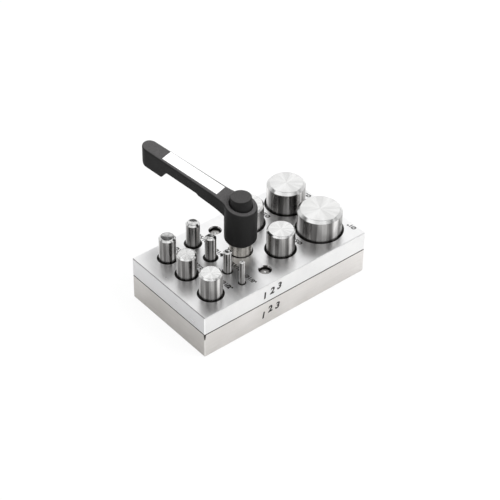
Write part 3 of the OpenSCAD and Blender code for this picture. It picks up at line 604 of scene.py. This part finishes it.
stud = {"foot": 3.05, "top": 34.4, "crest": 3.98, "root": 3.35, "pitch": 1.25, "flankGain": 1.25,
        "rootFlat": 0.12, "bevel": 0.8, "topBevel": 0.4, "perPitch": 10, "sides": 64, "sharp": 40}
z = np.arange(stud["foot"], stud["top"], stud["pitch"] / stud["perPitch"])[:, None]
turn = np.arange(stud["sides"])[None] / stud["sides"]
wave = z / stud["pitch"] - turn                  # one turn of the helix lifts the profile by one pitch
saw = 1 - np.abs(2 * (wave - np.floor(wave)) - 1)
flank = np.clip(stud["flankGain"] * saw - stud["rootFlat"], 0, 1)
thread = stud["root"] + (stud["crest"] - stud["root"]) * flank
thread = np.minimum(thread, stud["crest"] - stud["bevel"] + (z - stud["foot"]))
thread = np.minimum(thread, stud["crest"] - stud["topBevel"] + (stud["top"] - z))
ends = np.zeros((1, stud["sides"]))
mesh = turnedMesh("stud", np.vstack([ends, thread, ends]),
                  np.vstack([z[:1] + ends, z + 0 * thread, z[-1:] + ends]), clampAxis, stud["sides"])
finishPiece(pieceFromMesh("clamp_stud_thread", mesh, [hardwareSteel], stud["sharp"]), "clamp",
            "hardware_steel", "clamp_stud")

button = {"foot": 54.15, "top": 65.15, "skirt": 6.35, "face": 5.95, "taper": 7.4, "hollow": 4.7,
          "roof": 61.55, "headBore": 3.12, "headTop": 63.0, "round": 0.7, "dip": 0.12, "boreEdge": 0.1,
          "roofEdge": 0.2, "skirtEdge": 0.3, "waist": 0.9, "faceRings": 6, "sides": 128, "sharp": 35}
faceRho = np.linspace(1, 0, button["faceRings"] + 1)[1:] * (button["face"] - button["round"])
outline = softCorners([(0, button["headTop"]), (button["headBore"], button["headTop"]),
                       (button["headBore"], button["roof"]), (button["hollow"], button["roof"]),
                       (button["hollow"], button["foot"]), (button["skirt"], button["foot"]),
                       (button["skirt"], button["top"] - button["taper"]), (button["face"], button["top"]),
                       (button["face"] - 2 * button["round"], button["top"])],
                      [0, button["boreEdge"], button["boreEdge"], button["roofEdge"], button["boreEdge"],
                       button["skirtEdge"], button["waist"], button["round"], 0])[:-1]
face = np.stack([faceRho, button["top"] - button["dip"] * (1 - (faceRho / faceRho[0]) ** 2)], -1)
outline = np.vstack([outline, face])   # the face dips like the punches' struck faces
mesh = turnedMesh("button", outline[:, 0], outline[:, 1], clampAxis, button["sides"])
finishPiece(pieceFromMesh("button_cap", mesh, [buttonSkin], button["sharp"]), "clamp", "button_plastic",
            "push_button")
print("disc cutter: insert, stud and button made")

springWire = {"perTurn": 30, "sides": 12, "sharp": 50,
              "endClose": 0.5}   # how far the end turns close up
liftSpring = {"radius": 5.195, "wire": 1.1, "turns": 4.5, "foot": 9.8, "top": 18.5}
leverSpring = {"radius": 4.05, "wire": 0.8, "turns": 6, "foot": 50.3, "top": 61.5}


def coilSpring(name, look, node):
    # Wire carried along a helix: centre (R cos a, R sin a, z(a)), whose climb is slower in the end turns;
    # it is attached to no body and stays where it was wound
    sides = springWire["sides"]
    rings = int(look["turns"] * springWire["perTurn"])
    u = np.linspace(0, 1, rings + 1)[:, None]
    a = u * look["turns"] * 2 * math.pi
    climb = u - springWire["endClose"] * np.sin(2 * math.pi * u) / (2 * math.pi)
    wire = look["wire"] / 2
    centreZ = look["foot"] + wire + (look["top"] - look["foot"] - 2 * wire) * climb
    side = np.linspace(0, 2 * math.pi, sides, endpoint=False)[None]
    radius = look["radius"] + wire * np.cos(side)
    points = np.stack([clampAxis[0] + radius * np.cos(a), clampAxis[1] + radius * np.sin(a),
                       centreZ + wire * np.sin(side)], -1).reshape(-1, 3)
    faces = gridFaces(rings + 1, sides, False, True)[:, ::-1].tolist()
    faces += [list(range(sides)), list(range(rings * sides, (rings + 1) * sides))[::-1]]
    lay = np.stack(np.broadcast_arrays(np.cos(side), np.sin(side), a * look["radius"]), -1).reshape(-1, 3)
    mesh = meshFromArrays(name, points, faces)
    mesh.attributes.new("turnedLay", "FLOAT_VECTOR", "POINT").data.foreach_set("vector", lay.ravel())
    piece = pieceFromMesh(name, mesh, [hardwareSteel], springWire["sharp"])
    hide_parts(node)
    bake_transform(piece)
    return piece


coilSpring("lift_spring_wire", liftSpring, "lift_spring")
coilSpring("lever_spring_wire", leverSpring, "lever_spring")
for node in ("thrust_washer", "draw_screw"):   # out of sight inside, so the plain solids stay
    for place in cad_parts[node].material_slots:
        place.material = groundSteel(node + "Steel", washerLook)
print("disc cutter: springs wound")

lever = {
    "hubFoot": 34.4, "neckR": 6.5, "neckH": 0.3, "coneH": 2.0, "hubR": 9.1, "hubTopR": 9.15,
    "hubTop": 59.75, "rimRound": 1.0, "coneRound": 1.3, "armLength": 65.65, "slope": 11.9,
    "rootHalf": 5.75, "tipHalf": 4.825, "flare": 3.0, "flareReach": 15.0, "edgeRound": 0.9,
    "underRound": 0.8, "rimStep": 0.06, "footEdge": 0.1, "barrelFoot": 6.0, "barrelGrowth": 0.01,
    # depth of the arm's underside below its top, by the distance from the hub, and its corners' reaches
    "under": [(0, 9.3), (25, 7.85), (25.8, 7.05), (47.35, 7.05), (50.35, 12.2), (65.65, 12.2),
              (65.65, 4.0)],
    "underCorners": [0, 0.6, 0.6, 1.9, 0.7, 3.4, 0],
    "spigotBore": 4.65, "toothBoreTop": 37.45, "boreTop": 45.55, "screwBore": 2.55, "wellFoot": 50.25,
    "well": 6.65, "wellEdge": 0.3, "cutFrom": 31.0, "cutTo": 70.0}
leverGrid = {"shank": (0, 46, 70), "hook": (45.5, 52, 0.2), "hookEnd": (52, 14), "tip": 26, "across": 29,
             "down": 7, "underSteps": 8, "hubSides": 144, "hubSteps": 6, "barrel": 16, "bend": 7,
             "flat": 8, "boreSides": 192, "voxel": 0.3, "softening": 0.5, "softenings": 5, "sharp": 38}
rise = math.tan(math.radians(lever["slope"]))
tipStart = lever["armLength"] - lever["tipHalf"]


def fromArm(s, t, z):
    # From distance along the arm, distance across it and height to the block's frame
    c, n = math.cos(turnOfArm), math.sin(turnOfArm)
    return np.stack([clampAxis[0] + s * c - t * n, clampAxis[1] + s * n + t * c, z + 0 * s], -1)


def armMesh():
    # Sections across the arm: the top is z = hubTop + s tan(slope), lowered by r - sqrt(r^2 - (r-e)^2) at
    # a distance e from the outline, and the underside follows a depth profile with its own rounded edge
    g, tipHalf, rootHalf = leverGrid, lever["tipHalf"], lever["rootHalf"]
    profile = softCorners(lever["under"], lever["underCorners"], g["underSteps"])
    hookEnd, endRows = g["hookEnd"]
    roundTip = tipStart + tipHalf * np.sin(np.linspace(0, math.pi / 2, g["tip"]))
    s = np.r_[np.linspace(*g["shank"]), np.arange(*g["hook"]), np.linspace(hookEnd, tipStart, endRows),
              roundTip]
    s = np.unique(np.round(s, 5))[:, None]
    half = rootHalf + (tipHalf - rootHalf) * s / tipStart
    half = half + lever["flare"] * np.clip(1 - s / lever["flareReach"], 0, 1) ** 2
    past = np.clip(s - tipStart, 0, tipHalf)
    half = np.where(s > tipStart, np.sqrt(np.clip(tipHalf ** 2 - past ** 2, 0, None)), half)
    across = np.sin(np.linspace(-math.pi / 2, math.pi / 2, g["across"]))[None]
    t = half * across
    inside = np.where(s > tipStart, tipHalf - np.hypot(past, t), half - np.abs(t))

    def drop(radius):
        lack = np.clip(radius - inside, 0, radius)
        return radius - np.sqrt(radius ** 2 - lack ** 2)

    top = lever["hubTop"] - lever["rimStep"] + s * rise
    depth = np.interp(s[:, 0], profile[:, 0], profile[:, 1])[:, None]
    upper = top - drop(lever["edgeRound"])
    lower = top - depth + drop(lever["underRound"])
    down = np.linspace(0, 1, g["down"])[None, 1:-1]
    leftWall = upper[:, :1] + (lower[:, :1] - upper[:, :1]) * down
    rightWall = lower[:, -1:] + (upper[:, -1:] - lower[:, -1:]) * down
    z = np.hstack([upper[:, ::-1], leftWall, lower, rightWall])
    t = np.hstack([t[:, ::-1], t[:, :1] + 0 * down, t, t[:, -1:] + 0 * down])
    points = fromArm(s + 0 * t, t, z)
    rows, columns = z.shape
    faces = gridFaces(rows, columns, False, True).tolist() + [list(range(columns))[::-1]]
    mesh = meshFromArrays("arm", points.reshape(-1, 3), faces)
    skin = bmesh.new()
    skin.from_mesh(mesh)
    bmesh.ops.remove_doubles(skin, verts=skin.verts, dist=weld["arm"])
    skin.to_mesh(mesh)
    skin.free()
    return mesh


def hubMesh():
    # Neck, cone and drafted barrel, cut by the sloping rim z = hubTop + r cos(a - turn) tan(slope)
    g, hubTop, hubTopR, rimRound = leverGrid, lever["hubTop"], lever["hubTopR"], lever["rimRound"]
    a = np.arange(g["hubSides"]) * 2 * math.pi / g["hubSides"]
    facing = np.cos(a - turnOfArm)[None]
    foot, shoulder = lever["hubFoot"], lever["hubFoot"] + lever["neckH"] + lever["coneH"]
    low = softCorners([(0, foot), (lever["neckR"], foot), (lever["neckR"], foot + lever["neckH"]),
                       (lever["hubR"], shoulder),
                       (lever["hubR"] + lever["barrelGrowth"], shoulder + lever["barrelFoot"])],
                      [0, lever["footEdge"], lever["footEdge"], lever["coneRound"], 0], g["hubSteps"])
    climb = np.linspace(0, 1, g["barrel"])[1:, None]
    barrelR = low[-1, 0] + (hubTopR - low[-1, 0]) * climb
    rimZ = hubTop + hubTopR * facing * rise - rimRound
    barrelZ = low[-1, 1] + (rimZ - low[-1, 1]) * climb
    bend = np.linspace(0, math.pi / 2, g["bend"])[1:, None]
    rimR = hubTopR - rimRound * (1 - np.cos(bend))
    rimUp = hubTop + rimR * facing * rise - rimRound * (1 - np.sin(bend))
    flatR = rimR[-1] * np.linspace(1, 0, g["flat"])[1:, None]
    flatZ = hubTop + flatR * facing * rise
    radius = np.vstack([low[:, :1], barrelR, rimR, flatR]) + 0 * facing
    height = np.vstack([low[:, 1:] + 0 * facing, barrelZ, rimUp, flatZ])
    return turnedMesh("hub", radius, height, clampAxis, g["hubSides"])


def boreMesh():
    # Everything cut out of the hub along its axis: toothed seat, spigot bore, screw bore and well
    sides = leverGrid["boreSides"]
    toothed = toothRadius(sides, teeth["tip"], teeth["root"]) + teeth["play"]
    level = np.ones(sides)
    rows = [(0, lever["cutFrom"]), (toothed, lever["cutFrom"]), (toothed, lever["toothBoreTop"]),
            (lever["spigotBore"], lever["toothBoreTop"]), (lever["spigotBore"], lever["boreTop"]),
            (lever["screwBore"], lever["boreTop"]), (lever["screwBore"], lever["wellFoot"]),
            (lever["well"] - lever["wellEdge"], lever["wellFoot"]),
            (lever["well"], lever["wellFoot"] + lever["wellEdge"]), (lever["well"], lever["cutTo"]),
            (0, lever["cutTo"])]
    return turnedMesh("bore", np.stack([r * level for r, z in rows]),
                      np.stack([z * level for r, z in rows]), clampAxis, sides)


leverSkin = pieceFromMesh("lever_casting", joinedMesh("lever", [armMesh(), hubMesh()]), [powderCoat])
remesh = leverSkin.modifiers.new("skin", "REMESH")
remesh.mode, remesh.voxel_size = "VOXEL", leverGrid["voxel"] * mm
soften = leverSkin.modifiers.new("soften", "SMOOTH")
soften.factor, soften.iterations = leverGrid["softening"], leverGrid["softenings"]
baked(leverSkin)
cutter = pieceFromMesh("bore", boreMesh(), [powderCoat])
cut = leverSkin.modifiers.new("bored", "BOOLEAN")
cut.operation, cut.solver, cut.object = "DIFFERENCE", "EXACT", cutter
baked(leverSkin)
bpy.data.objects.remove(cutter)
shade(leverSkin.data, leverGrid["sharp"])
finishPiece(leverSkin, "lever", "black_casting", "lever")
print("disc cutter: lever cast,", len(leverSkin.data.polygons), "faces")

label = {"from": 13.6, "to": 50.3, "left": -4.2, "right": 3.45, "thick": 0.12, "gap": 0.01,
         "edge": 0.03, "rows": 40, "columns": 12}


def labelMesh():
    # A thin sheet on the arm's sloping top: a grid in s along and t across the arm, at a gap over the top
    # and as thick as it says, a little thinner in its outermost line, and closed by walls all round
    v = np.linspace(0, 1, label["rows"])[:, None]
    u = np.linspace(0, 1, label["columns"])[None]
    s = label["from"] + (label["to"] - label["from"]) * v + 0 * u
    t = label["left"] + (label["right"] - label["left"]) * u + 0 * v
    outermost = ((v == 0) | (v == 1)) | ((u == 0) | (u == 1))
    plane = lever["hubTop"] - lever["rimStep"] + s * rise + label["gap"]
    top = fromArm(s, t, plane + label["thick"] - label["edge"] * outermost)
    under = fromArm(s, t, plane)
    n, m = s.shape
    grid = gridFaces(n, m, False, False)
    rim = np.r_[np.arange(m), m - 1 + m * np.arange(1, n), n * m - 2 - np.arange(m - 1),
                m * np.arange(n - 2, 0, -1)]
    rimNext = np.roll(rim, -1)
    walls = np.stack([rim, rimNext, rimNext + n * m, rim + n * m], -1)
    faces = np.vstack([grid[:, ::-1], grid + n * m, walls])
    mesh = meshFromArrays("label", np.vstack([top.reshape(-1, 3), under.reshape(-1, 3)]), faces)
    skin = bmesh.new()
    skin.from_mesh(mesh)
    bmesh.ops.recalc_face_normals(skin, faces=skin.faces)
    skin.to_mesh(mesh)
    skin.free()
    return mesh


labelPiece = pieceFromMesh("blank_label", labelMesh(), [labelVinyl])
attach(labelPiece, "lever")
print("disc cutter: label laid")

view = {"place": (-0.470885, -0.559502, 0.632364), "right": (0.77085, -0.63693, 0.01092),
        "up": (0.40084, 0.49830, 0.76878), "ahead": (0.49510, 0.58824, -0.63942), "lens": 123.84,
        "sensor": 36, "nearest": 0.05, "farthest": 20}   # places in metres, lens and sensor in mm
cameraData = bpy.data.cameras.new("photoCamera")
cameraData.lens, cameraData.sensor_width = view["lens"], view["sensor"]
cameraData.clip_start, cameraData.clip_end = view["nearest"], view["farthest"]
camera = bpy.data.objects.new("photoCamera", cameraData)
columns = Matrix([view["right"], view["up"], [-c for c in view["ahead"]]]).transposed().to_4x4()
camera.matrix_world = Matrix.Translation(view["place"]) @ columns
bpy.context.scene.collection.objects.link(camera)
bpy.context.scene.camera = camera

# A paper floor that shows itself almost white to the camera and takes the object's soft shadow
paper = {"colour": 0.9, "glow": 1.02, "share": 0.85, "half": 6000, "under": 0.02}
floorBench = NodeBench("floor")
path = floorBench.add("ShaderNodeLightPath").outputs["Is Camera Ray"]
matt = floorBench.add("ShaderNodeBsdfDiffuse", {"Color": (*(paper["colour"],) * 3, 1)})
glow = floorBench.add("ShaderNodeEmission", {"Color": (1, 1, 1, 1), "Strength": paper["glow"]})
share = floorBench.maths("MULTIPLY", path, paper["share"])
mixed = floorBench.add("ShaderNodeMixShader", {0: share, 1: matt.outputs[0], 2: glow.outputs[0]})
floorBench.add("ShaderNodeOutputMaterial", {"Surface": mixed.outputs[0]})
floorCorners = [[x * paper["half"], y * paper["half"], -paper["under"]]
                for x, y in ((-1, -1), (1, -1), (1, 1), (-1, 1))]
floor = pieceFromMesh("floor", meshFromArrays("floor", floorCorners, [(0, 1, 2, 3)]), [floorBench.material])

studio = {
    # brightness of the room's walls by the turn from the camera's side: 0 is at the camera, a quarter
    # turn on is to its right, three quarters is to its left
    "turns": [(0.0, 0.01), (0.04, 0.01), (0.05, 0.5), (0.10, 0.5), (0.11, 0.03), (0.20, 0.03),
              (0.205, 0.8), (0.235, 0.8), (0.245, 0.05), (0.33, 0.12), (0.37, 0.9), (0.5, 0.95),
              (0.65, 0.9), (0.69, 0.06), (0.778, 0.06), (0.79, 1.0), (0.92, 1.0), (0.935, 0.01),
              (1.0, 0.01)],
    # even bands round the whole room, by how high a direction points from 0, level, to 1, straight up:
    # the sill is everything under the walls, the cornice everything over them up to the overhead
    "sill": 0.75, "sillFrom": 0.46, "sillTo": 0.54, "cornice": 0.95, "corniceFrom": 0.67,
    "corniceTo": 0.71, "overhead": 0.25, "overheadFrom": 0.88, "overheadTo": 0.93, "strength": 1.15}
world = bpy.data.worlds.new("studio")
bpy.context.scene.world = world
world.use_nodes = True
room = NodeBench("studio", world.node_tree)
direction = room.add("ShaderNodeTexCoord").outputs["Generated"]
toCamera = Vector((-view["ahead"][0], -view["ahead"][1], 0)).normalized()
toRight = Vector((-toCamera.y, toCamera.x, 0))
across, towards = [
    room.add("ShaderNodeVectorMath", {0: direction, 1: axis}, operation="DOT_PRODUCT").outputs["Value"]
    for axis in (toRight, toCamera)]
turn = room.maths("ADD", room.maths("DIVIDE", room.maths("ARCTAN2", across, towards), 2 * math.pi), 1.0)
turn = room.maths("FRACT", turn)
walls = room.add("ShaderNodeValToRGB", {"Fac": turn})
stops = walls.color_ramp.elements
while len(stops) < len(studio["turns"]):
    stops.new(0.5)
for stop, (at, level) in zip(stops, studio["turns"]):
    stop.position, stop.color = at, (level, level, level, 1)
height = room.add("ShaderNodeSeparateXYZ", {0: direction}).outputs["Z"]
cornice = room.spread(height, studio["corniceFrom"], studio["corniceTo"], 0.0, 1.0)
overhead = room.spread(height, studio["overheadFrom"], studio["overheadTo"], 0.0, 1.0)
sill = room.spread(height, studio["sillFrom"], studio["sillTo"], 1.0, 0.0)
light = room.blend("MIX", sill, walls.outputs[0], (studio["sill"],) * 3)
light = room.blend("MIX", cornice, light, (studio["cornice"],) * 3)
light = room.blend("MIX", overhead, light, (studio["overhead"],) * 3)
seen = room.add("ShaderNodeLightPath").outputs["Is Camera Ray"]
shown = room.blend("MIX", seen, light, (1.0, 1.0, 1.0))
back = room.add("ShaderNodeBackground", {"Color": shown, "Strength": studio["strength"]})
room.add("ShaderNodeOutputWorld", {"Surface": back.outputs[0]})

lampAim = (0, 0, 0.02)
lamps = {"key": {"place": (0.35, -0.45, 0.7), "size": 0.5, "power": 3.6},
         "top": {"place": (-0.1, 0.1, 1.1), "size": 0.9, "power": 3.0}}
for name, look in lamps.items():
    lampData = bpy.data.lights.new(name, "AREA")
    lampData.size, lampData.energy = look["size"], look["power"]
    lamp = bpy.data.objects.new(name, lampData)
    lamp.location = look["place"]
    lamp.visible_glossy = False
    lamp.rotation_mode = "QUATERNION"
    lamp.rotation_quaternion = (Vector(lampAim) - Vector(look["place"])).to_track_quat("-Z", "Y")
    bpy.context.scene.collection.objects.link(lamp)

bpy.context.scene.view_settings.view_transform = "Standard"
print("disc cutter: studio lit")
